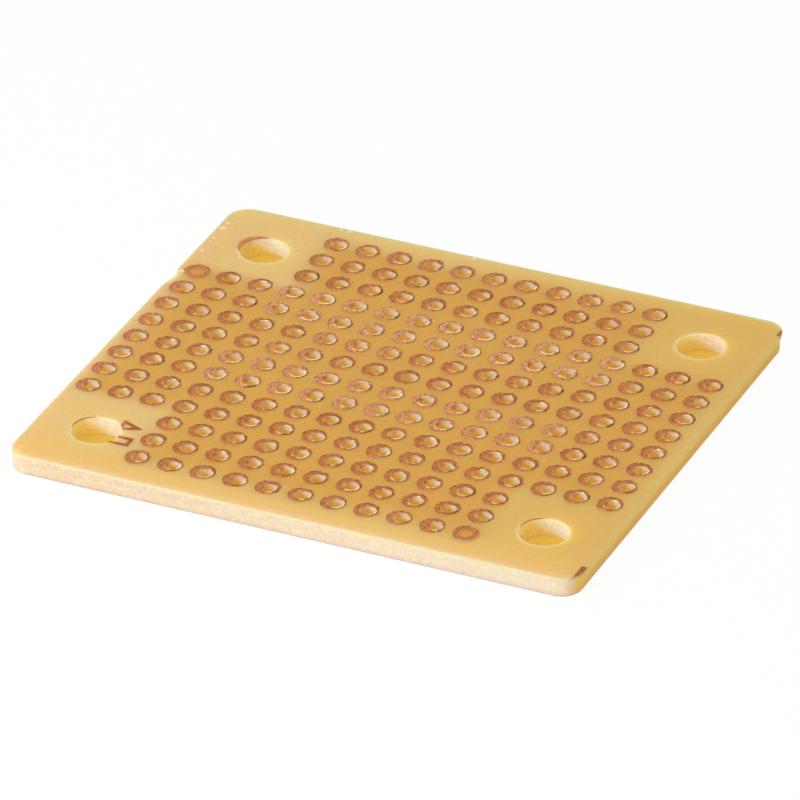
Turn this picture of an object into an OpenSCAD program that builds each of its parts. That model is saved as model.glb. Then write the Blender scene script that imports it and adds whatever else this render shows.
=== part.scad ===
// Prototype board: a small one-sided prototyping circuit board.
// A sheet of resin-bonded paper, blanked in a press, carries copper solder pads on its top face.
// Each pad is a separate ring of foil with a lead hole drilled through it and the sheet.
// Four larger holes near the corners take the mounting screws.
// The copper pattern, the drilled holes and the blanked outline don't quite line up, as on a
// cheap board, so each has its own shift.
// The origin is the centre of the underside, +X is to the right, +Y to the rear and +Z up.
// All sizes are in millimetres.

/* [Sheet] */
// Length of the sheet, left to right
board_l = 44.05; // [30:0.05:80]
// Width of the sheet, front to rear
board_w = 38.6; // [30:0.1:70]
// Thickness of the sheet without its copper
board_t = 1.45; // [0.8:0.05:2.4]
// Radius of the sheet's corners, seen from above
corner_r = 1.7; // [0.4:0.1:3]
// Radius that the blanking press rolls onto the top edge
edge_roll = 0.08; // [0.04:0.01:0.3]

/* [Pads] */
// Distance from one pad's centre to the next
pitch = 2.54; // [2.1:0.01:3.1]
// Outer diameter of a pad
pad_d = 1.9; // [1.6:0.02:2.4]
// Diameter of the bare spot etched at a pad's centre to guide the drill
etched_d = 1; // [0.6:0.05:1.1]
// Thickness of the copper foil
foil_t = 0.035; // [0.035:0.005:0.105]
// Least width of bare sheet between a pad and the rolled edge
edge_land = 0.2; // [0.05:0.05:0.5]
// Pads left out along each side of each corner, to clear the screw heads
corner_block = 3; // [3:1:5]

/* [Lead holes] */
// Diameter of a lead hole
lead_hole_d = 1.15; // [0.8:0.05:1.4]
// Furthest that one lead hole wanders along each axis from its place in the grid
drill_wander = 0.05; // [0:0.01:0.08]

/* [Mounting holes] */
// Diameter of a mounting hole
mount_hole_d = 3.6; // [2.9:0.1:4.4]
// Distance from the sheet's left or right edge to a mounting hole's centre
mount_inset_x = 4.7; // [3.8:0.05:5.6]
// Distance from the sheet's front or rear edge to a mounting hole's centre
mount_inset_y = 5.32; // [3.8:0.01:6]
// Diameter of the copper spot printed at each mounting hole
spot_d = 2.9; // [2.4:0.1:3.5]

/* [Registration] */
// How far to the right of the copper pattern the outline was blanked
blank_shift_x = 0.24; // [0.2:0.01:0.45]
// How far in front of the copper pattern the outline was blanked
blank_shift_y = 0.29; // [0:0.01:0.4]
// Turn of the copper pattern on the sheet in degrees, clockwise from above
pattern_skew = 0.31; // [0:0.01:0.4]
// How far to the right of the pads the lead holes were drilled
drill_shift = 0.14; // [0:0.01:0.2]

/* [Marks and chip] */
// Length of the crop bar printed beside each right-hand corner
crop_bar_l = 2; // [1.5:0.1:4]
// How far the crop bars start inside the outline that was meant
crop_bar_inset = 0.15; // [0:0.05:0.3]
// Length of the open arrow and bar marked beside the front left mounting hole
mark_l = 1.7; // [1.4:0.1:1.9]
// Width of the arrow
arrow_w = 1.4; // [1.2:0.1:1.5]
// Width of the bar
bar_w = 1.1; // [0.8:0.1:1.2]
// Width of the copper line that the arrow and the bar are drawn with
mark_line = 0.24; // [0.15:0.01:0.28]
// Length of the chip snapped off the left edge
chip_l = 2.5; // [1:0.1:4]
// Depth of that chip at the top face
chip_depth = 0.2; // [0.1:0.05:0.4]
// Distance from the middle of the sheet back to that chip
chip_y = 7.8; // [0:0.1:9]

/* [Hidden] */
$fn = 48;
// Cutters run past the faces they cut by this much
past = 1;
// Width of a crop bar, most of which was cut off with the scrap
crop_bar_w = 2;
// Middle of the arrow and of the bar, measured from the front left mounting hole
arrow_place = [2.1, 1.35];
bar_place = [2.1, -0.6];
// Direction and greatest thickness of what each mounting hole left of its copper spot
rear_left_rest = [155, 0.44];
front_left_rest = [155, 0.14];
front_right_rest = [148, 0.12];

// How far the skew carries the end of the pattern sideways
skew_reach = sin(pattern_skew) * board_w / 2;
// A pad is printed only where all of it lies on the flat of the top face
flat_l = board_l - 2 * (edge_roll + edge_land + blank_shift_x + skew_reach) - pad_d;
flat_w = board_w - 2 * (edge_roll + edge_land + blank_shift_y + skew_reach) - pad_d;
columns = floor(flat_l / pitch) + 1;
rows = floor(flat_w / pitch) + 1;

// Names of the pad rows, counted from the rear edge
function row_name(r) = str("pads_row_", r < 9 ? "0" : "", r + 1);

// Where a point of the copper pattern comes to lie on the blanked sheet
function on_sheet(p) = [
    p.x * cos(pattern_skew) + p.y * sin(pattern_skew) - blank_shift_x,
    p.y * cos(pattern_skew) - p.x * sin(pattern_skew) + blank_shift_y
];

// A pad's place in the copper pattern, by column from the left and row from the rear
function grid_place(c, r) = pitch * [c - (columns - 1) / 2, (rows - 1) / 2 - r];

function pad_place(c, r) = on_sheet(grid_place(c, r));

// A drilled hole's own small error, the same each time for the same hole
function wander(c, r) = rands(-drill_wander, drill_wander, 2, c + 100 * r + 1);

function hole_place(c, r) = on_sheet(grid_place(c, r) + [drill_shift, 0] + wander(c, r));

// The rows near the front and rear edges are shorter, to leave the corners clear
function row_cut(r) = r < corner_block || r >= rows - corner_block ? corner_block : 0;

function row_columns(r) = [row_cut(r) : columns - 1 - row_cut(r)];

// Two pads, at opposite corners of the grid, were never drilled
function is_drilled(c, r) =
    !(c == 0 && r == corner_block) && !(c == columns - 1 - corner_block && r == rows - 1);

// A mounting hole's centre: side is -1 at the left and 1 at the right, end is 1 at the rear
function mount_place(side, end) =
    [side * (board_l / 2 - mount_inset_x), end * (board_w / 2 - mount_inset_y)];

// The sheet's section from a middle line out to its edge, with the rolled top corner
module edge_section(reach) {
    square([reach, board_t - edge_roll]);
    square([reach - edge_roll, board_t]);
    translate([reach - edge_roll, board_t - edge_roll])
        circle(edge_roll);
}

// A straight run of that section along Y, centred, reaching out along +X
module edge_run(reach, run)
    rotate([90, 0, 0])
        linear_extrude(run, center = true)
            edge_section(reach);

// The whole sheet before drilling: a middle band, two end bands and four corners
module blank() {
    inner_l = board_l - 2 * corner_r;
    inner_w = board_w - 2 * corner_r;
    for (turn = [0, 180])
        rotate(turn) {
            rotate(90)
                edge_run(board_w / 2, inner_l);
            translate([inner_l / 2, 0])
                edge_run(corner_r, inner_w);
            translate([inner_l / 2, inner_w / 2])
                rotate_extrude(angle = 90)
                    edge_section(corner_r);
            translate([-inner_l / 2, inner_w / 2])
                rotate(90)
                    rotate_extrude(angle = 90)
                        edge_section(corner_r);
        }
}

// The chip leaves a hollow that is deepest at the top face and runs out towards the underside
module chip() {
    chip_r = (pow(chip_l / 2, 2) + pow(chip_depth, 2)) / (2 * chip_depth);
    translate([chip_depth - board_l / 2 - chip_r, chip_y])
        cylinder(h = board_t, r1 = chip_r - chip_depth / 2, r2 = chip_r);
}

module lead_hole(c, r)
    translate(hole_place(c, r))
        translate([0, 0, -past])
            cylinder(h = board_t + foil_t + 2 * past, d = lead_hole_d);

module mounting_hole(side, end)
    translate(mount_place(side, end))
        translate([0, 0, -past])
            cylinder(h = board_t + foil_t + 2 * past, d = mount_hole_d);

// A flat piece of foil on the top face, from a 2-D shape
module foil()
    translate([0, 0, board_t])
        linear_extrude(foil_t)
            children();

module laminate()
    color("#dba653")
        difference() {
            blank();
            chip();
            for (side = [-1, 1], end = [-1, 1])
                mounting_hole(side, end);
            for (r = [0 : rows - 1], c = row_columns(r))
                if (is_drilled(c, r)) lead_hole(c, r);
        }

module pad(c, r)
    difference() {
        translate(pad_place(c, r))
            foil()
                difference() {
                    circle(d = pad_d);
                    circle(d = etched_d);
                }
        if (is_drilled(c, r)) lead_hole(c, r);
    }

module pad_row(r)
    color("#bf7847")
        for (c = row_columns(r))
            pad(c, r);

// What a mounting hole left of the copper spot printed there: a thin crescent on one side
module ring_rest(side, end, rest)
    color("#bf7847")
        difference() {
            translate(mount_place(side, end))
                rotate(rest[0])
                    translate([rest[1] + (mount_hole_d - spot_d) / 2, 0])
                        foil()
                            circle(d = spot_d);
            mounting_hole(side, end);
        }

// The flat of the top face, inside its rolled edge
module top_flat() {
    flat_r = corner_r - edge_roll;
    square([board_l - 2 * corner_r, board_w - 2 * edge_roll], center = true);
    square([board_l - 2 * edge_roll, board_w - 2 * corner_r], center = true);
    for (side = [-1, 1], end = [-1, 1])
        translate([side * (board_l / 2 - corner_r), end * (board_w / 2 - corner_r)])
            circle(flat_r);
}

// The crop bars lie just outside the outline that was meant; the shifted blanking kept two of them
module crop_mark(end)
    color("#a86a3c")
        foil()
            intersection() {
                top_flat();
                translate(on_sheet([board_l / 2 - crop_bar_inset, end * (board_w - crop_bar_l) / 2]))
                    rotate(-pattern_skew)
                        translate([0, -crop_bar_l / 2])
                            square([crop_bar_w, crop_bar_l]);
            }

// Foil beside the front left mounting hole, which cuts off what it overlaps
module foil_mark(place)
    color("#bf7847")
        difference() {
            translate(mount_place(-1, -1) + place)
                foil()
                    children();
            mounting_hole(-1, -1);
        }

// An arrowhead that points to the right, drawn round its in-centre; share is 1 for the full size
module arrowhead(in_r, share)
    scale(share)
        polygon([[-in_r, -arrow_w / 2], [mark_l - in_r, 0], [-in_r, arrow_w / 2]]);

module mark_arrow() {
    arrow_side = sqrt(pow(mark_l, 2) + pow(arrow_w / 2, 2));
    in_r = mark_l * arrow_w / (arrow_w + 2 * arrow_side);
    foil_mark(arrow_place)
        translate([in_r - mark_l / 2, 0])
            difference() {
                arrowhead(in_r, 1);
                arrowhead(in_r, 1 - mark_line / in_r);
            }
}

module mark_bar()
    foil_mark(bar_place)
        difference() {
            square([mark_l, bar_w], center = true);
            square([mark_l - 2 * mark_line, bar_w - 2 * mark_line], center = true);
        }

laminate();
for (r = [0 : rows - 1])
    pad_row(r);
ring_rest(-1, 1, rear_left_rest);  // ring_rest_rear_left
ring_rest(-1, -1, front_left_rest);  // ring_rest_front_left
ring_rest(1, -1, front_right_rest);  // ring_rest_front_right
crop_mark(1);  // crop_mark_rear_right
crop_mark(-1);  // crop_mark_front_right
mark_arrow();
mark_bar();
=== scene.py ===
"""Looks of the prototype board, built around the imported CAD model.

The sheet and its copper are rebuilt as detailed meshes on the outlines that the CAD nodes give:
rolled and torn edges, rough drilled walls, etched foil edges and drilling burrs. Blender works in
metres. Sizes below are in millimetres, and MM turns them into metres.
"""
import math

import bmesh
import bpy
import numpy as np
from mathutils import Matrix, Vector, noise
from mathutils.geometry import delaunay_2d_cdt


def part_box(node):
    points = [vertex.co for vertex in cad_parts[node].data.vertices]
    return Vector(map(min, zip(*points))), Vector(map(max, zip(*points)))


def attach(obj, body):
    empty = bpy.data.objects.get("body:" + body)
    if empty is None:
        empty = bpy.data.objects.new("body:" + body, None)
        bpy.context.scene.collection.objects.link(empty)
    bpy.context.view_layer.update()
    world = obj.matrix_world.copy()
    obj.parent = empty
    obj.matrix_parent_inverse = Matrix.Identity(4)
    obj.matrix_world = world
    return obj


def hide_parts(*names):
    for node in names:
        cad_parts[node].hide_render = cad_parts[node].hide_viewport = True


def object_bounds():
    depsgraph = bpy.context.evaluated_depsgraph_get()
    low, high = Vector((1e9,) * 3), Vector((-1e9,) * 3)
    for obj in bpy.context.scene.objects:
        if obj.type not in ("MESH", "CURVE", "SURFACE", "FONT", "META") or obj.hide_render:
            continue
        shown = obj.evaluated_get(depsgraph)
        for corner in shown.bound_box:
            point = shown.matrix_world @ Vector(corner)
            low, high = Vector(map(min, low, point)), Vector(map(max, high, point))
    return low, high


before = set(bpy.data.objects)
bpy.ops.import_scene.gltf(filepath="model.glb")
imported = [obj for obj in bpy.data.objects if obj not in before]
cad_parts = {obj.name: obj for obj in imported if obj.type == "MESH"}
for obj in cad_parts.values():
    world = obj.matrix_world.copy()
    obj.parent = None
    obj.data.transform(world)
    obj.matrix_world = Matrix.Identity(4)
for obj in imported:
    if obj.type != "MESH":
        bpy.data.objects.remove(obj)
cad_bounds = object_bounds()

MM = 0.001

# ---------------------------------------------------------------- camera and light
CAM_AZIMUTH = 24.806  # degrees to the right of the board's front
CAM_ELEVATION = 30.640
CAM_ROLL = 0.658
CAM_DISTANCE = 690.48
CAM_LENS = 436.5
CAM_SENSOR = 36.0
CAM_AIM = (0.644, -1.574, 1.45)

KEY_AZIMUTH = -28.0  # degrees; the key light stands low at the front left
KEY_ELEVATION = 23.0
KEY_DISTANCE = 260.0
KEY_SIZE = 80.0
KEY_IRRADIANCE = 1.9  # on a surface that faces it, at the board's centre; pi is a full white
KEY_SLOPE = math.tan(math.radians(KEY_ELEVATION))
FILL = 0.74  # radiance of the surroundings, where 1 is white


def direction(azimuth, elevation):
    """Unit vector from the board towards a place round it."""
    a, e = math.radians(azimuth), math.radians(elevation)
    return Vector((math.sin(a) * math.cos(e), -math.cos(a) * math.cos(e), math.sin(e)))


def link(obj):
    """Puts an object into the scene."""
    bpy.context.scene.collection.objects.link(obj)
    return obj


def make_camera():
    """The camera of the photo, as the perspective of the pads' grid gives it."""
    data = bpy.data.cameras.new("camera")
    data.lens = CAM_LENS
    data.sensor_width = CAM_SENSOR
    data.clip_start = 0.01
    data.clip_end = 20.0
    cam = link(bpy.data.objects.new("camera", data))
    back = direction(CAM_AZIMUTH, CAM_ELEVATION)
    level = Vector((0, 0, 1)).cross(back).normalized()
    upright = back.cross(level)
    roll = math.radians(CAM_ROLL)
    right = level * math.cos(roll) - upright * math.sin(roll)
    up = back.cross(right)
    place = Vector(CAM_AIM) * MM + back * CAM_DISTANCE * MM
    cam.matrix_world = Matrix((right, up, back)).transposed().to_4x4()
    cam.matrix_world.translation = place
    bpy.context.scene.camera = cam


def make_key():
    """A soft round lamp at the front left."""
    data = bpy.data.lights.new("key", "AREA")
    data.shape = "DISK"
    data.size = KEY_SIZE * MM
    data.energy = KEY_IRRADIANCE * math.pi * (KEY_DISTANCE * MM) ** 2
    lamp = link(bpy.data.objects.new("key", data))
    towards = direction(KEY_AZIMUTH, KEY_ELEVATION)
    lamp.location = towards * KEY_DISTANCE * MM
    lamp.rotation_euler = towards.to_track_quat("Z", "Y").to_euler()


# ---------------------------------------------------------------- node helpers
class Graph:
    """A node tree with short calls. An input may be a socket, a number, or a colour."""

    def __init__(self, tree):
        self.tree = tree
        tree.nodes.clear()

    def node(self, kind, settings=(), outlet=0, **inputs):
        """Adds a node with these settings and inputs, and returns one of its outlets."""
        made = self.tree.nodes.new("ShaderNode" + kind)
        for name, value in dict(settings).items():
            setattr(made, name, value)
        for name, value in inputs.items():
            self.feed(made, name, value)
        return made.outputs[outlet]

    def feed(self, made, name, value):
        """Sets or links an input, which goes by its name, or by its number as i0, i1 and so on."""
        if name[0] == "i" and name[1:].isdigit():
            socket = made.inputs[int(name[1:])]
        else:
            plain = name.replace("_", " ").lower()
            socket = next(s for s in made.inputs if s.name.lower() == plain and s.enabled)
        if isinstance(value, bpy.types.NodeSocket):
            self.tree.links.new(value, socket)
        else:
            socket.default_value = value

    def math(self, operation, a, b=0.0, c=0.0, clamp=False):
        return self.node("Math", {"operation": operation, "use_clamp": clamp}, i0=a, i1=b, i2=c)

    def ramp(self, value, low, high, to_low=0.0, to_high=1.0):
        """value taken smoothly from to_low, at low, to to_high, at high."""
        return self.node("MapRange", {"interpolation_type": "SMOOTHSTEP"}, i0=value, i1=low,
                         i2=high, i3=to_low, i4=to_high)

    def mix(self, factor, a, b):
        """Colour a turned into colour b by factor."""
        return self.node("Mix", {"data_type": "RGBA"}, 2, i0=factor, i6=a, i7=b)

    def noise(self, where, scale, detail, rough):
        return self.node("TexNoise", vector=where, scale=scale, detail=detail, roughness=rough)

    def stretch(self, where, x, y, z):
        return self.node("VectorMath", {"operation": "MULTIPLY"}, i0=where, i1=(x, y, z))

    def place(self):
        """The point being shaded, in mm, in the part's own frame."""
        return self.stretch(self.node("TexCoord", outlet=3), 1 / MM, 1 / MM, 1 / MM)

    def axes(self, where):
        """The x, y and z of a point."""
        return self.node("SeparateXYZ", vector=where).node.outputs[:3]

    def value(self, name):
        """A value that the mesh keeps at its points."""
        return self.node("Attribute", {"attribute_name": name}, 2)

    def seen_directly(self):
        """1 for rays that show a surface itself, straight or in metal or glass, 0 for its light."""
        path = self.node("LightPath").node
        seen = self.math("ADD", path.outputs["Is Camera Ray"], path.outputs["Is Glossy Ray"])
        return self.math("ADD", seen, path.outputs["Is Transmission Ray"], clamp=True)

    def finish(self, shader, kind="Material"):
        """Makes the shader what the tree shows."""
        out = self.tree.nodes.new("ShaderNodeOutput" + kind)
        self.tree.links.new(shader, out.inputs["Surface"])


def rgb(r, g, b):
    """A colour given as it looks on a screen, 0 to 255, as the linear one that shaders take."""
    def linear(v):
        v /= 255
        return v / 12.92 if v <= 0.04045 else ((v + 0.055) / 1.055) ** 2.4
    return (linear(r), linear(g), linear(b), 1.0)


WHITE = (1, 1, 1, 1)


def material(name):
    """A new material, and the graph of its nodes."""
    made = bpy.data.materials.new(name)
    made.use_nodes = True
    return made, Graph(made.node_tree)


def make_world():
    """A white dome, dimmed to FILL as a light."""
    world = bpy.data.worlds.new("surroundings")
    bpy.context.scene.world = world
    world.use_nodes = True
    g = Graph(world.node_tree)
    strength = g.math("MULTIPLY_ADD", g.seen_directly(), 1.0 - FILL, FILL)
    g.finish(g.node("Background", color=WHITE, strength=strength), "World")


# ---------------------------------------------------------------- what the frame says
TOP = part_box("laminate")[1].z / MM  # height of the sheet's top face
HALF = np.array(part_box("laminate")[1][:2]) / MM  # half the sheet's length and width
FOIL_TOP = cad_bounds[1].z / MM
SAME_HEIGHT = 0.002  # points this close in height are on one flat face


def loops_at(node, z):
    """The closed outlines of a CAD node's flat faces at height z, as arrays of x and y, in mm."""
    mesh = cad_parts[node].data
    co = np.array([v.co for v in mesh.vertices]) / MM
    place, edges = {}, set()
    for face in mesh.polygons:
        if max(abs(co[v][2] - z) for v in face.vertices) > SAME_HEIGHT:
            continue
        keys = []
        for v in face.vertices:
            keys.append(tuple(np.round(co[v][:2], 4)))
            place[keys[-1]] = co[v][:2]
        for edge in zip(keys, keys[1:] + keys[:1]):
            if edge[::-1] in edges:
                edges.remove(edge[::-1])  # two faces share it, so it isn't on an outline
            else:
                edges.add(edge)
    after = dict(sorted(edges))
    loops = []
    while after:
        first, here = after.popitem()
        loop = [first]
        while here != first:
            loop.append(here)
            here = after.pop(here)
        loops.append(np.array([place[k] for k in loop]))
    return sorted(loops, key=lambda loop: tuple(loop.mean(0)))


def round_of(loop):
    """(centre, radius) of a round outline."""
    centre = (loop.min(0) + loop.max(0)) / 2
    return centre, float(np.linalg.norm(loop - centre, axis=1).mean())


def sheet_at(z):
    """The sheet's holes at height z as (centre, radius), and the outline round them all."""
    loops = loops_at("laminate", z)
    outline = max(loops, key=lambda loop: np.ptp(loop[:, 0]))
    return [round_of(loop) for loop in loops if loop is not outline], outline


def read_pads():
    """The pad centres of each row node, and the radii of a pad and of its etched spot.

    A row's outlines are its pads' rims, and the smaller ones inside them, the smallest of which
    are the spots that no drill widened.
    """
    rows, spots = {}, []
    for node in sorted(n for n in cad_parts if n.startswith("pads_row")):
        rounds = [round_of(loop) for loop in loops_at(node, FOIL_TOP)]
        outer = max(r for _, r in rounds)
        rows[node] = [c for c, r in rounds if r > 0.95 * outer]
        spots += [r for _, r in rounds if r < 0.7 * outer]
    return rows, outer, min(spots)


HOLES, UNDERSIDE = sheet_at(0.0)
PADS, PAD_R, SPOT_R = read_pads()
DRILL_R = min(r for _, r in HOLES)
MOUNT_R = max(r for _, r in HOLES)
MOUNT_PLACE = max(tuple(c) for c, r in HOLES if r > 2 * DRILL_R)  # the rear right one
TOP_FLAT = sheet_at(TOP)[1]
ROLL = HALF[0] - TOP_FLAT[:, 0].max()  # radius of the rolled top edge
CORNER = HALF[1] - UNDERSIDE[UNDERSIDE[:, 0] > HALF[0] - SAME_HEIGHT][:, 1].max()
ALL_PADS = np.array([pad for row in PADS.values() for pad in row])
GRID_CENTRE = (ALL_PADS.min(0) + ALL_PADS.max(0)) / 2
GRID_REACH = (ALL_PADS.max(0) - ALL_PADS.min(0)) / 2
PITCH = float(np.linalg.norm(PADS["pads_row_07"][1] - PADS["pads_row_07"][0]))
CORNER_BLOCK = 3  # pads left out at each corner of the grid, each way
HOLE_PLACES = np.array([c for c, _ in HOLES])

# The points of the top face's outline that the chip at the left moved in
BITTEN = TOP_FLAT[(TOP_FLAT[:, 0] > ROLL + SAME_HEIGHT - HALF[0]) & (TOP_FLAT[:, 0] < 1 - HALF[0])
                  & (abs(TOP_FLAT[:, 1]) < HALF[1] - CORNER - SAME_HEIGHT)]
CHIP_Y = float((BITTEN[:, 1].max() + BITTEN[:, 1].min()) / 2)
CHIP_DEPTH = float((BITTEN[:, 0] + HALF[0]).max())


def hole_in(pad):
    """The lead hole drilled through the pad whose centre this is, or None."""
    gaps = np.linalg.norm(HOLE_PLACES - pad, axis=1)
    return HOLE_PLACES[gaps.argmin()] if gaps.min() < PAD_R / 2 else None


# ---------------------------------------------------------------- meshes
SMOOTH_BELOW = 40  # degrees; sharper folds than this are shaded as edges


class Shape:
    """Rows of points in mm, joined by faces, with named shader values at each point."""

    def __init__(self, *names):
        self.points, self.faces = [], []
        self.values = {name: [] for name in names}

    def row(self, points, **values):
        """Adds a row of points and returns their indices."""
        start = len(self.points)
        self.points.extend(map(tuple, points))
        for name, kept in self.values.items():
            kept.extend(np.broadcast_to(values.get(name, 0.0), len(points)))
        return list(range(start, len(self.points)))

    def bands(self, rows):
        """Joins each closed row to the next, which has as many points."""
        for a, b in zip(rows, rows[1:]):
            for i in range(len(a)):
                j = (i + 1) % len(a)
                self.faces.append((a[i], a[j], b[j], b[i]))

    def fill(self, outline, holes=(), spots=()):
        """Triangles on a flat face inside outline and outside holes, through spots' points."""
        rows = [outline, *holes, *spots]
        used = [i for row in rows for i in row]
        slot = {v: i for i, v in enumerate(used)}
        edges = [(slot[a], slot[b]) for row in rows if len(row) > 1
                 for a, b in zip(row, row[1:] + row[:1])]
        flat = [Vector(self.points[i][:2]) for i in used]
        inside_only, same_point = 1, 1e-7
        made = delaunay_2d_cdt(flat, edges, [[slot[i] for i in outline]], inside_only, same_point)
        ring_of = {slot[v]: k for k, row in enumerate(holes) for v in row}
        for face in made[2]:
            corners = [made[3][v][0] for v in face]
            rings = {ring_of.get(c, -1) for c in corners}
            if len(rings) > 1 or -1 in rings:
                self.faces.append(tuple(used[c] for c in corners))

    def piece(self, name, shader, node):
        """Makes the piece that stands for a CAD node."""
        mesh = bpy.data.meshes.new(name)
        mesh.from_pydata([tuple(c * MM for c in p) for p in self.points], [], self.faces)
        for value, kept in self.values.items():
            layer = mesh.attributes.new(value, "FLOAT", "POINT")
            layer.data.foreach_set("value", np.array(kept, np.float32))
        work = bmesh.new()
        work.from_mesh(mesh)
        bmesh.ops.recalc_face_normals(work, faces=work.faces)
        work.to_mesh(mesh)
        work.free()
        mesh.shade_smooth()
        mesh.set_sharp_from_angle(angle=math.radians(SMOOTH_BELOW))
        mesh.materials.append(shader)
        obj = link(bpy.data.objects.new(name, mesh))
        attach(obj, "root")
        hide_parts(node)


def rough(points, size, seed=0.0):
    """Smooth noise from -1 to 1 at each point, with lumps of about size mm; size may be x, y, z."""
    size = np.broadcast_to(size, 3)
    shift = Vector((seed, 7 * seed, 3 * seed))
    return np.array([noise.noise(Vector(p / size) + shift) for p in points])


def turn_of(count):
    """count angles round a circle, and the unit vector at each."""
    angles = np.arange(count) * 2 * math.pi / count
    return angles, np.column_stack((np.cos(angles), np.sin(angles)))


def circle(centre, radius, count, z):
    """Points round a level circle. radius may be one number or one for each point."""
    out = turn_of(count)[1]
    return np.column_stack((centre + np.reshape(radius, (-1, 1)) * out, np.full(count, z)))


# ---------------------------------------------------------------- the sheet
EDGE_STEP = 0.2  # spacing of points along the sheet's edge
TAPER = 0.2  # furthest that the torn upper part of the blanked edge slopes in
TAPER_TOWARDS = np.array((0.9, 0.44))  # the side where it does so: right and rear
TEAR_START = ROLL + 0.04  # depths below the top face between which the edge was torn, not cut
TEAR_END = 0.58 * TOP
CUT_START = TEAR_END + 0.12
ROLL_ANGLES = (0, 30, 60, 90)  # degrees; rows of points round the rolled rim
ROLL_END = ROLL + 0.06
TEAR_DEPTHS = (0.25, 0.45, 0.65, TEAR_END)
CUT_DEPTHS = (CUT_START, 1.15, 1.40)
COARSE_TEAR, COARSE_SIZE = 0.020, (0.9, 0.9, 0.4)  # height and size of the tear's lumps
FINE_TEAR, FINE_SIZE = 0.022, (0.35, 0.35, 0.16)
CUT_GRAIN = 0.006  # height of the fine lumps in the clean cut
FOOT = 0.015  # how far the edge is rounded in at the underside
CHIP_REACH = 0.6  # how far in from the edge the chip moves the points of the top face
CHIP_HALF = 1.25  # half the chip's length
CHIP_SKEW, CHIP_PEAK = 0.6, 1.08  # how much deeper it is at its rear, and the highest it gets so
FACE_INSETS = (CHIP_REACH, 0.35, 0.18)

LEAD_SIDES, MOUNT_SIDES = 32, 112  # points round a hole
LIP = 0.09  # how far the resin that the drill pushed up leans over the left side of a lead hole
HALO_AT = math.radians(230)  # the face is crazed round a mounting hole, most at its front left
BARE_MARGIN = 0.03  # width in which the face turns into the bare spot of an undrilled pad
# Rows down a mounting hole's wall: depth, how much wider than the drill, and height of the lumps
MOUNT_WALL = (
    (0.06, 0.0, 0.02), (0.2, -0.005, 0.035), (0.4, -0.01, 0.035), (0.6, -0.02, 0.035),
    (0.8, -0.03, 0.03), (1.0, -0.035, 0.01), (1.2, -0.035, 0.01), (1.38, -0.03, 0.01))
# Rows down a lead hole's wall: depth, share of the lip that is left, and share of the painted shade
LEAD_WALL = ((0.12, 0.6, 0.6), (0.3, 0.2, 0.2), (0.55, 0.0, 0.0), (0.9, 0.0, 0.0), (1.25, 0.0, 0.0))
LEAD_LUMPS = 0.022


def edge_path():
    """Points round the sharp outline, and the outward direction at each."""
    points, normals = [], []
    straight = HALF - CORNER
    for turn in range(4):
        along = straight[0] if turn % 2 else straight[1]
        across = HALF[1] if turn % 2 else HALF[0]
        c, s = math.cos(turn * math.pi / 2), math.sin(turn * math.pi / 2)
        steps = round(2 * along / EDGE_STEP)
        run = [((across, -along + 2 * along * i / steps), (1, 0)) for i in range(steps)]
        bends = round(CORNER * math.pi / 2 / EDGE_STEP)
        for i in range(bends):
            a = i * math.pi / 2 / bends
            out = (math.cos(a), math.sin(a))
            run.append(((across - CORNER + CORNER * out[0], along + CORNER * out[1]), out))
        for p, n in run:
            points.append((p[0] * c - p[1] * s, p[0] * s + p[1] * c))
            normals.append((n[0] * c - n[1] * s, n[0] * s + n[1] * c))
    return np.array(points), np.array(normals)


def chip_bite(points, normals, depth):
    """How far in the chip moves each edge point, at a depth below the top."""
    along = (points[:, 1] - CHIP_Y) / CHIP_HALF
    shape = (1 - along ** 2).clip(0) * (1 + CHIP_SKEW * along) / CHIP_PEAK
    on_left = normals[:, 0] < -0.99
    return CHIP_DEPTH * (1 - depth / (2 * TOP)) * np.where(on_left, shape, 0)


def taper_of(normals):
    """How far the torn part of the edge slopes in at each edge point."""
    return TAPER * (normals @ TAPER_TOWARDS).clip(0)


def torn(depth):
    """0 in the rolled top edge, 1 in the torn part of the wall, back to 0 in the clean part."""
    return float(np.interp(depth, (0.02, TEAR_START, TEAR_END, CUT_START), (0, 1, 1, 0)))


def edge_rows(shape):
    """A strip of the top face, the rolled rim, and the wall. Returns the first and last row."""
    points, normals = edge_path()
    taper = taper_of(normals)

    def row(inset, depth, cut=0.0, sloped=0.0, roll=0.0):
        where = np.column_stack((points, np.full(len(points), TOP - depth)))
        bite = chip_bite(points, normals, depth)
        if depth == 0:
            bite *= max(0, 1 - inset / CHIP_REACH)
        coarse = rough(where, COARSE_SIZE, 3)
        fine = rough(where, FINE_SIZE, 5)
        lumps = torn(depth) * (COARSE_TEAR * coarse + FINE_TEAR * fine) + CUT_GRAIN * fine * cut
        total = inset + taper * sloped + bite + np.maximum(lumps, -inset)
        where[:, :2] -= normals * total[:, None]
        return shape.row(where, cut=cut, roll=roll, pale=np.clip(6 * bite, 0, 1))

    rows = [row(inset, 0) for inset in FACE_INSETS]
    for angle in ROLL_ANGLES:
        across, down = math.sin(math.radians(angle)), 1 - math.cos(math.radians(angle))
        rows.append(row(ROLL * (1 - across), ROLL * down, cut=across ** 2, roll=0.3 + 0.7 * across))
    rows.append(row(0, ROLL_END, cut=1, sloped=0.05, roll=0.3))
    for depth in TEAR_DEPTHS:
        rows.append(row(0, depth, cut=1, sloped=(depth - ROLL) / (TEAR_END - ROLL)))
    for depth in CUT_DEPTHS:
        rows.append(row(0, depth, cut=1, sloped=1))
    rows.append(row(FOOT, TOP, cut=0.5, sloped=1))
    shape.bands(rows)
    return rows[0], rows[-1]


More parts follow.
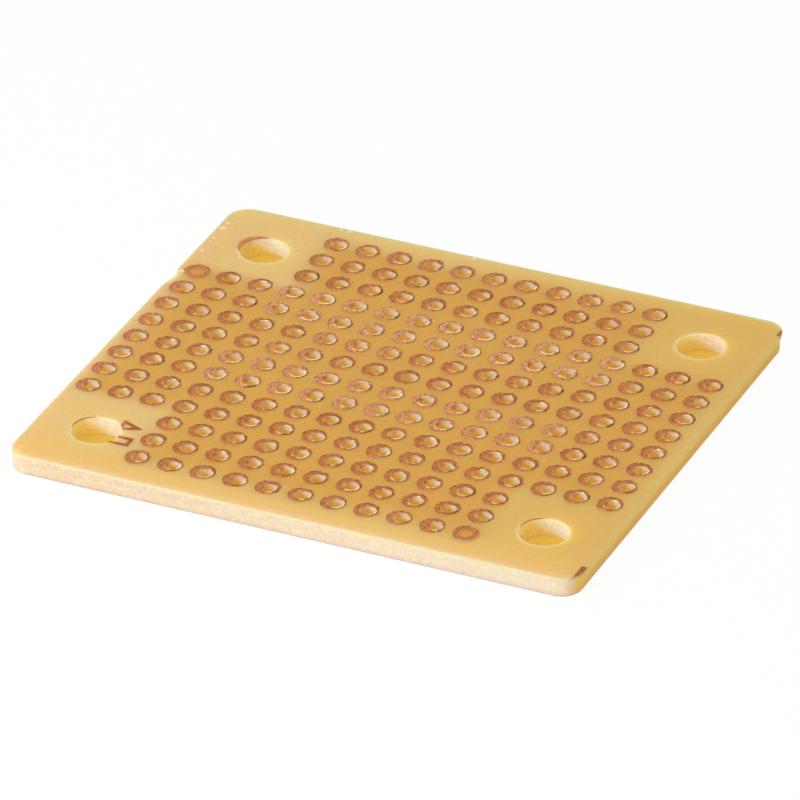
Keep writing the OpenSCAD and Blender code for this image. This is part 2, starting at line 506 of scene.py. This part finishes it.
def hole_rows(shape, index, centre, radius):
    """The wall of one hole. Returns its rows in the top face and in the underside."""
    is_mount = radius > 2 * DRILL_R
    sides = MOUNT_SIDES if is_mount else LEAD_SIDES
    angles, out = turn_of(sides)
    lit_depth = 2 * radius * KEY_SLOPE  # how far down the key light reaches across the hole

    def row(spread, depth, lumps=0.0, **values):
        where = circle(centre, radius + spread, sides, TOP - depth)
        bumps = 0.6 * rough(where, (0.5, 0.5, 0.25), index) + 0.8 * rough(where, 0.14, index)
        where[:, :2] += out * (lumps * bumps)[:, None]
        return shape.row(where, sunk=depth / lit_depth, bore=0.5 if is_mount else 1.0, **values)

    if is_mount:
        halo = 0.5 + 0.5 * np.cos(angles - HALO_AT)
        rows = [  # the crazed face, the broken rim, the wall, and its end in the underside
            row(0.42, 0),
            row(0.22, 0, 0.03, pale=0.25 * halo),
            row(0.08, 0, 0.02, pale=0.6 * halo),
            row(0.02, 0.01, 0.02, pale=0.6 * halo, cut=0.3),
            *(row(spread, depth, lumps, cut=1) for depth, spread, lumps in MOUNT_WALL),
            row(0.02, TOP, pale=0.5, cut=0.5),
        ]
    else:
        rim = circle(centre, radius, sides, 0)
        to_left = (-out[:, 0]).clip(0)
        # painted shade: the hole's left wall, turned away from the key light, is darkened near its
        # top
        left_wall_shade = to_left ** 2 * (0.8 + 2.2 * rough(rim, 0.5, 4)).clip(0, 1.6)
        lip = LIP * to_left * (1 + 0.6 * rough(rim, 0.4, 9))
        rows = [  # the face under the copper, the lip, the wall, and its end in the underside
            row(0.20, 0),
            row(0.16, 0, hole_shade=0.2 * left_wall_shade),
            row(0.02 - lip, 0, hole_shade=0.5 * left_wall_shade),
            row(-lip, 0.015, cut=1, hole_shade=0.6 * left_wall_shade),
            row(-0.9 * lip, 0.05, cut=1, hole_shade=0.6 * left_wall_shade),
            *(row(-0.01 - share * lip, depth, LEAD_LUMPS, cut=1, hole_shade=shade_part * left_wall_shade)
              for depth, share, shade_part in LEAD_WALL),
            row(0.0, TOP - 0.03, cut=1),
            row(0.03, TOP, pale=0.5, cut=0.5),
        ]
    shape.bands(rows)
    return rows[0], rows[-1]


def build_sheet(shader):
    """The whole laminate."""
    shape = Shape("cut", "roll", "bore", "sunk", "pale", "bare", "hole_shade")
    edge_top, edge_bottom = edge_rows(shape)
    walls = [hole_rows(shape, index, *hole) for index, hole in enumerate(HOLES)]
    spots = []
    for pad in ALL_PADS:
        if hole_in(pad) is None:
            spots.append(shape.row(circle(pad, SPOT_R + BARE_MARGIN, LEAD_SIDES, TOP)))
            spots.append(shape.row(circle(pad, SPOT_R, LEAD_SIDES, TOP), bare=1))
            spots.append(shape.row([(*pad, TOP)], bare=1))
    shape.fill(edge_top, [top for top, _ in walls], spots)
    shape.fill(edge_bottom, [bottom for _, bottom in walls])
    shape.piece("sheet", shader, "laminate")


# ---------------------------------------------------------------- the copper
PAD_ANGLES, PAD_OUT = turn_of(64)
TO_REAR = PAD_OUT[:, 1].clip(0)
TO_FRONT = (PAD_OUT @ np.array((0.7, -0.7))).clip(0)
AWAY_FROM_KEY = PAD_OUT @ np.array((-0.5, 0.87))
FOIL = FOIL_TOP - TOP
BURR = 0.022  # height of the drilling burr
FLAT = FOIL_TOP - BURR  # height of the foil between its edges, so that the burr ends at FOIL_TOP
ETCHED = 0.012  # how unevenly the foil's outline was etched
OVERHANG = 0.018  # how far the burr hangs over the drilled hole
SUNK = 0.002  # the foil's glue line, below the sheet's face
SPUR_AT = math.radians(185)  # the spur of foil on the undrilled left pad
SPUR_WIDTH = 0.13  # in radians
SPUR_LENGTH = 0.16
# Bands of pads that were rubbed: first and last row, first and last column, and how much
SCUFFED = ((3, 4, 3, 13, 0.95), (7, 8, 3, 13, 0.75), (5, 5, 5, 7, 0.6), (6, 6, 4, 5, 0.45),
           (0, 13, 0, 0, 0.3), (0, 0, 0, 16, 0.2), (13, 13, 0, 16, 0.15))


def scuff_of(row, pad):
    """How much a pad was rubbed, from 0 to 1."""
    column = round((pad[0] - GRID_CENTRE[0]) / PITCH + GRID_REACH[0] / PITCH)
    found = [much for top, low, left, right, much in SCUFFED
             if top <= row <= low and left <= column <= right]
    return max(found, default=0.0)


def inner_edge(pad, hole):
    """Distance from a pad's centre to its copper's inner edge, and where that was drilled."""
    reach = np.full(len(PAD_ANGLES), SPOT_R)
    if hole is None:
        return reach, np.zeros(len(PAD_ANGLES), bool)
    shift = hole - pad
    off = math.hypot(*shift)
    turn = PAD_ANGLES - math.atan2(shift[1], shift[0])
    drill = off * np.cos(turn) + np.sqrt(DRILL_R ** 2 - (off * np.sin(turn)) ** 2)
    return np.maximum(reach, drill), drill > reach


def pad_rows(shape, pad, seed, scuff):
    """One ring of foil: its etched rim, its flat, and the burr that the drill raised inside."""
    hole = hole_in(pad)
    inner, drilled = inner_edge(pad, hole)
    ring = np.column_stack((PAD_OUT * 0.8, np.full(len(PAD_OUT), 1.7 * seed)))  # for noise only
    uneven = rough(ring, 0.5, seed + 50)
    jagged = rough(ring, 0.16, seed + 90)
    edging = rough(ring, 0.22, seed + 30)

    inner = inner - OVERHANG * (1 + (0.8 + scuff) * jagged).clip(0) * drilled
    # the burr is real raised copper; its size also sets its painted highlight, strongest towards
    # the front and rear
    burr = 0.5 * TO_FRONT + 0.55 * TO_REAR - 0.1 + 2.2 * uneven + 0.9 * jagged + 0.4 * scuff
    burr = burr.clip(0, 1) * drilled
    # a darker band painted on the flat foil just outside the burr, weaker towards the front
    darker_band = 0.3 - 0.35 * TO_FRONT - 2.0 * uneven + 0.8 * jagged - 0.4 * scuff
    darker_band = darker_band.clip(0, 1) * drilled
    glint = (0.5 + 1.5 * uneven).clip(0, 1) * ~drilled * (0.3 if hole is None else 1)
    burr_width = 0.06 + 0.08 * TO_FRONT + 0.04 * scuff
    line_width = 0.05 + 0.05 * TO_REAR
    outer = PAD_R - ETCHED + ETCHED * rough(ring, 0.22, seed)
    if hole is None and pad[0] < GRID_CENTRE[0]:
        outer = outer + SPUR_LENGTH * np.exp(-((PAD_ANGLES - SPUR_AT) / SPUR_WIDTH) ** 2)

    # painted shade and highlights: the etched edge's darker outline deepens away from the key
    # light, and bright and sheen paint the glint towards the front
    outline_shade = (0.22 + 0.36 * AWAY_FROM_KEY + 1.5 * edging).clip(0, 1) * (1 - 0.4 * scuff)
    bright = (0.9 * TO_FRONT - 1.5 * edging).clip(0, 1)
    sheen = 0.0 if hole is None else 0.3 * TO_FRONT
    tone = 0.5 + 0.5 * math.sin(12.9898 * seed)  # as good as random from pad to pad

    def row(radius, z, **values):
        where = np.column_stack((pad + PAD_OUT * radius[:, None], np.broadcast_to(z, len(PAD_OUT))))
        return shape.row(where, tone=tone, scuff=scuff, **values)

    rows = [  # up the etched rim, over its darker outline and the flat, across a darker band, over the burr
        row(outer, TOP - SUNK, edge=outline_shade, glint=bright),
        row(outer - 0.004, TOP + 0.5 * FOIL, edge=outline_shade, glint=bright),
        row(outer - 0.018, FLAT - 0.003, edge=outline_shade, glint=bright),
        row(outer - line_width, FLAT, edge=0.7 * outline_shade, glint=0.5 * bright),
        row(outer - line_width - 0.03, FLAT, glint=sheen),
        row(0.5 * (inner + outer), FLAT, glint=sheen),
        row(inner + burr_width + 0.06, FLAT, edge=0.5 * darker_band, glint=sheen),
        row(inner + burr_width, FLAT, edge=darker_band, rim=0.1 * burr),
        row(inner + 0.6 * burr_width, FLAT + 0.8 * BURR * burr, rim=burr, glint=0.5 * glint),
        row(inner + 0.3 * burr_width, FLAT + BURR * burr, rim=burr, glint=glint),
        row(inner + 0.005, FLAT + 0.5 * BURR * burr, rim=burr, glint=glint),
        row(inner, TOP - SUNK, rim=0.5 * burr, edge=1.0 * ~drilled),
    ]
    shape.bands(rows + rows[:1])


def build_pads(row_index, node, pads, shader):
    """One row of pads."""
    shape = Shape("edge", "rim", "glint", "tone", "scuff")
    for index, pad in enumerate(pads):
        pad_rows(shape, pad, 20 * row_index + index, scuff_of(row_index, pad))
    shape.piece("copper_" + node, shader, node)


# ---------------------------------------------------------------- the table
FLOOR_Z = -0.02
FLOOR_HALF = 5000.0
GLOW_INSET = 0.06  # how far inside the board's outline the painted glow on the table ends


def make_floor():
    """A white table. Under the board an amber patch glows, a painted light for what comes through
    the board.
    """
    def paint(name, colour, lit, lifted, glow=0.0):
        """A matt paint that seems partly lit by itself: lifted to the eye, and glow as a light."""
        shader, g = material(name)
        share = g.math("MULTIPLY_ADD", g.seen_directly(), lifted - glow, glow)
        g.finish(g.node("MixShader", i0=share, i1=g.node("BsdfDiffuse", color=colour),
                        i2=g.node("Emission", color=lit, strength=1.0)))
        return shader

    def lay(name, outline, z, shader):
        mesh = bpy.data.meshes.new(name)
        corners = [(x * MM, y * MM, z * MM) for x, y in outline]
        mesh.from_pydata(corners, [], [tuple(range(len(corners)))])
        mesh.materials.append(shader)
        link(bpy.data.objects.new(name, mesh))

    square = FLOOR_HALF * np.array(((-1, -1), (1, -1), (1, 1), (-1, 1)))
    lay("floor", square, FLOOR_Z, paint("studio_floor", (0.95, 0.95, 0.95, 1), WHITE, 0.95))
    points, normals = edge_path()
    inset = GLOW_INSET + taper_of(normals) + chip_bite(points, normals, TOP)
    # painted glow: amber, and shining on the board's underside and holes as a lamp would
    painted_glow = paint("floor_under_board", rgb(250, 205, 80), rgb(228, 180, 74), 0.75, 0.6)
    lay("floor_glow_patch", points - normals * inset[:, None], 0.5 * FLOOR_Z, painted_glow)


# ---------------------------------------------------------------- the sheet's material
# White bruises on the top face, where the press or another board knocked it: x, y and radius
LEFT_BRUISE_X = 0.5 - HALF[0]
REAR_BRUISE_Y = HALF[1] - 0.32
BRUISES = (
    (LEFT_BRUISE_X, 16.6, 0.22),
    (LEFT_BRUISE_X, 15.75, 0.34),
    (LEFT_BRUISE_X, 14.2, 0.16),
    (LEFT_BRUISE_X, 13.7, 0.13),
    (LEFT_BRUISE_X, 12.2, 0.22),
    (-18.62, 12.38, 0.15),
    (-13.45, REAR_BRUISE_Y, 0.17),
    (-12.8, REAR_BRUISE_Y, 0.21),
    (-2.8, REAR_BRUISE_Y, 0.21),
    (LEFT_BRUISE_X - 0.05, 8.9, 0.28),
)

# How the face fades towards each edge: axis, sign from the edge inwards, reach of the axis, rate
# per mm, share at the edge itself, and shade
EDGE_SHADES = (
    (0, 1, HALF[0], -3.2, 1.0, rgb(146, 144, 142)),
    (0, -1, HALF[0], -2.0, 0.9, rgb(196, 164, 110)),
    (1, -1, HALF[1], -4.0, 0.8, rgb(182, 156, 152)),
    (1, 1, HALF[1], -1.8, 0.85, rgb(196, 182, 162)),
)


def face_colour(g, mm):
    """The resin surface: deeper among the copper, a painted shade of the copper keeping light out
    of the resin, and paler at the bare margins and the front edge.
    """
    x, y, _ = g.axes(mm)
    from_x = g.math("ABSOLUTE", g.math("SUBTRACT", x, GRID_CENTRE[0]))
    from_y = g.math("ABSOLUTE", g.math("SUBTRACT", y, GRID_CENTRE[1]))

    def beyond(reach_x, reach_y):
        past_x = g.math("SUBTRACT", from_x, reach_x)
        return g.math("MAXIMUM", past_x, g.math("SUBTRACT", from_y, reach_y))

    block = CORNER_BLOCK * PITCH
    reach_x, reach_y = GRID_REACH + PAD_R
    wide, deep = beyond(reach_x, reach_y - block), beyond(reach_x - block, reach_y)
    clouds = g.math("MULTIPLY_ADD", g.noise(mm, 0.35, 3, 0.6), 3.0, -1.5)
    outside = g.math("ADD", g.math("MINIMUM", wide, deep), clouds)  # mm from the cross of pads
    margin = g.mix(g.ramp(x, -HALF[0], HALF[0]), rgb(222, 195, 122), rgb(215, 183, 91))
    margin = g.mix(g.ramp(y, -14.0, -HALF[1]), margin, rgb(229, 193, 101))
    # painted shade: deeper colour inside the pads' cross, paler in the margins
    face = g.mix(g.ramp(outside, -2.2, 0.7), rgb(214, 166, 67), margin)
    grain = g.noise(g.stretch(mm, 1.0, 2.0, 1.0), 6.0, 3, 0.6)
    face = g.mix(g.ramp(grain, 0.36, 0.64), face, g.stretch(face, 0.92, 0.90, 0.84))
    for axis, side, reach, rate, much, shade in EDGE_SHADES:
        inside = g.math("MULTIPLY_ADD", (x, y)[axis], side, reach)
        fading = g.math("EXPONENT", g.math("MULTIPLY", inside, rate))
        face = g.mix(g.math("MULTIPLY", fading, much, clamp=True), face, shade)
    return face, grain


def bruising(g, mm):
    """1 on the white bruises and on specks of dust, 0 elsewhere."""
    found = 0.0
    for x, y, radius in BRUISES:
        away = g.node("VectorMath", {"operation": "DISTANCE"}, 1, i0=mm, i1=(x, y, TOP))
        found = g.math("MAXIMUM", found, g.ramp(away, radius, 0.3 * radius))
    ragged = g.ramp(g.noise(mm, 9.0, 2, 0.6), 0.30, 0.48)
    dust = g.ramp(g.node("TexVoronoi", vector=mm, scale=0.42), 0.045, 0.02, 0.0, 0.7)
    return g.math("MAXIMUM", g.math("MULTIPLY", found, ragged), dust)


def wall_colour(g, mm, bore, sunk):
    """A cut wall with painted light and shade: pale lit fibres where slanting key light from the
    front left would reach, else amber painted shade with the glow through the resin.

    bore is 0 at the sheet's edge, 0.5 in a mounting hole and 1 in a lead hole.
    """
    x, _, z = g.axes(mm)
    blots = g.noise(g.stretch(mm, 1.0, 1.0, 1.7), 3.4, 4, 0.62)
    specks = g.noise(g.stretch(mm, 1.0, 1.0, 1.6), 8.0, 3, 0.6)
    mounted, drilled = g.ramp(bore, 0.0, 0.5), g.ramp(bore, 0.5, 1.0)

    blotted = g.ramp(blots, 0.38, 0.62)
    ends = g.ramp(specks, 0.52, 0.70, 0.0, 0.5)  # bright ends of fibres
    high = g.mix(blotted, rgb(196, 176, 148), rgb(205, 194, 174))
    low = g.mix(blotted, rgb(230, 195, 154), rgb(236, 211, 174))
    edge = g.mix(ends, g.mix(g.ramp(z, 0.75 * TOP, 0.0), high, low), rgb(236, 224, 208))
    edge = g.mix(g.ramp(x, -HALF[0], HALF[0], 0.0, 0.3), edge, rgb(244, 230, 212))
    mount = g.mix(blotted, rgb(222, 203, 180), rgb(234, 221, 202))
    mount = g.mix(ends, mount, rgb(250, 241, 222))
    lead = g.mix(blotted, rgb(255, 224, 172), rgb(255, 234, 192))
    lead = g.mix(ends, lead, rgb(255, 244, 220))
    # painted light: these pale fibre colours stand for the wall where the key light falls,
    # brightest in the lead holes
    lit_fibres = g.mix(drilled, g.mix(mounted, edge, mount), lead)

    # painted shade and glow: amber for the wall out of the key light, lit through the resin,
    # lighter towards the bottom of a mounting hole
    shade_glow = g.mix(g.ramp(z, 0.6, 0.0, 0.0, 0.7), rgb(250, 221, 142), rgb(255, 236, 172))
    shade_glow = g.mix(drilled, g.mix(mounted, rgb(222, 190, 100), shade_glow), rgb(255, 219, 139))
    shade_glow = g.mix(g.ramp(blots, 0.4, 0.65, 0.0, 0.35), shade_glow, rgb(232, 182, 84))

    # the mask is painted light and shade: depth below the key light's reach, less how much the wall
    # faces the key
    facing = g.node("VectorMath", {"operation": "DOT_PRODUCT"}, 1,
                    i0=g.node("NewGeometry", outlet=1), i1=tuple(direction(KEY_AZIMUTH, 0)))
    ragged = g.math("ADD", sunk, g.math("MULTIPLY_ADD", specks, 0.3, -0.15))
    level = g.math("SUBTRACT", ragged, facing)
    shaded = g.node("Mix", i0=drilled, i2=g.ramp(level, -0.5, 0.3), i3=g.ramp(level, -0.7, 0.45))
    return g.mix(shaded, lit_fibres, shade_glow), blots, specks


def make_laminate():
    """Tan resin-bonded paper, with light going some way into it."""
    shader, g = material("laminate")
    mm = g.place()
    x, y, _ = g.axes(mm)
    cut, roll, bore, sunk = map(g.value, ("cut", "roll", "bore", "sunk"))
    pale, bare, hole_shade = map(g.value, ("pale", "bare", "hole_shade"))
    colour, grain = face_colour(g, mm)
    colour = g.mix(g.math("MULTIPLY", bare, 0.85), colour, rgb(226, 162, 40))
    wall, blots, specks = wall_colour(g, mm, bore, sunk)
    colour = g.mix(cut, colour, wall)
    # painted shade on the upper left walls of the lead holes
    colour = g.mix(g.math("MULTIPLY", hole_shade, 0.9), colour, rgb(150, 68, 20))
    at_front = g.ramp(y, 0.5 - HALF[1], 0.2 - HALF[1])
    at_right = g.ramp(x, HALF[0] - 0.5, HALF[0] - 0.2)
    rolled = g.mix(at_front, rgb(150, 138, 118), rgb(214, 191, 158))
    rolled = g.mix(at_right, rolled, rgb(188, 158, 100))
    colour = g.mix(g.math("MULTIPLY", roll, 0.85), colour, rolled)
    crazed = g.math("MULTIPLY", pale, g.ramp(specks, 0.3, 0.6, 0.4, 1.0))
    crazed = g.math("MAXIMUM", crazed, bruising(g, mm))
    colour = g.mix(crazed, colour, rgb(228, 216, 186))
    relief = g.math("ADD", g.math("MULTIPLY", blots, cut), g.math("MULTIPLY", grain, 0.2))
    bump = g.node("Bump", strength=0.5, distance=0.06 * MM, height=relief)
    g.finish(g.node("BsdfPrincipled", base_color=colour, roughness=0.55, normal=bump,
                    specular_ior_level=0.3, subsurface_weight=1.0,
                    subsurface_radius=(5.0, 2.2, 0.5), subsurface_scale=MM))
    return shader


# ---------------------------------------------------------------- the copper's material
def make_copper(name, tarnish):
    """Bare copper, scraped by the drill. tarnish browns all of it, from 0 to 1."""
    shader, g = material(name)
    mm = g.place()
    x, y, _ = g.axes(mm)
    edge, rim, glint, tone, scuff = map(g.value, ("edge", "rim", "glint", "tone", "scuff"))
    mottle = g.noise(mm, 3.2, 4, 0.7)
    grit = g.noise(mm, 7.0, 3, 0.65)
    flecks = g.noise(g.stretch(mm, 1.0, 1.0, 0.0), 12.0, 2, 0.6)
    scratches = g.noise(g.stretch(mm, 1.0, 0.45, 1.0), 5.0, 3, 0.6)
    colour = g.mix(g.ramp(mottle, 0.38, 0.62), rgb(150, 82, 30), rgb(196, 118, 52))
    colour = g.mix(g.ramp(grit, 0.44, 0.6, 0.0, 0.5), colour, rgb(208, 138, 82))
    colour = g.mix(g.math("MULTIPLY", tone, 0.2), colour, rgb(200, 130, 62))
    worn = g.math("MULTIPLY", scuff, g.ramp(scratches, 0.44, 0.56))
    colour = g.mix(g.math("MULTIPLY", worn, 0.8), colour, rgb(226, 160, 108))
    scraped = g.math("MULTIPLY", scuff, g.ramp(flecks, 0.55, 0.65))
    colour = g.mix(scraped, colour, rgb(252, 226, 200))
    colour = g.mix(g.ramp(flecks, 0.66, 0.74, 0.0, 0.7), colour, rgb(242, 206, 176))

    # What the mounting holes left of their spots is darker along the hole, with a painted glint
    # further out
    from_mount = g.node("CombineXYZ", x=g.math("SUBTRACT", g.math("ABSOLUTE", x), MOUNT_PLACE[0]),
                        y=g.math("SUBTRACT", g.math("ABSOLUTE", y), MOUNT_PLACE[1]))
    away = g.node("VectorMath", {"operation": "LENGTH"}, 1, i0=from_mount)
    gap = g.math("SUBTRACT", away, MOUNT_R)
    edge = g.math("MAXIMUM", edge, g.ramp(gap, 0.09, 0.02, 0.0, 0.5))
    edge = g.math("MAXIMUM", edge, tarnish)
    glint = g.math("MAXIMUM", glint, g.ramp(gap, 0.7, 0.3, 0.0, 0.35))

    # this brown takes the outline's painted shade, the darker band beside the burr, the mounting
    # holes' edges and the tarnish
    colour = g.mix(edge, colour, rgb(118, 58, 26))
    colour = g.mix(glint, colour, rgb(240, 166, 98))
    # painted highlight: the burrs' cream stands for the key light glinting on the scraped copper
    burr = g.mix(g.ramp(grit, 0.35, 0.6), rgb(240, 200, 150), rgb(254, 240, 210))
    colour = g.mix(rim, colour, burr)
    bump = g.node("Bump", strength=0.4, distance=0.02 * MM, height=mottle)
    g.finish(g.node("BsdfPrincipled", base_color=colour, metallic=1.0, normal=bump,
                    roughness=g.ramp(mottle, 0.3, 0.7, 0.34, 0.5)))
    return shader


# ---------------------------------------------------------------- the scene
make_camera()
make_key()
make_world()
bpy.context.scene.view_settings.view_transform = "Standard"
make_floor()

laminate = make_laminate()
copper = make_copper("copper", 0.0)
brown_copper = make_copper("brown_copper", 0.35)
for node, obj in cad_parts.items():
    foil = brown_copper if node.startswith(("mark", "crop")) else copper
    obj.data.materials.clear()
    obj.data.materials.append(laminate if node == "laminate" else foil)

build_sheet(laminate)
for row_index, (node, pads) in enumerate(PADS.items()):
    build_pads(row_index, node, pads, copper)
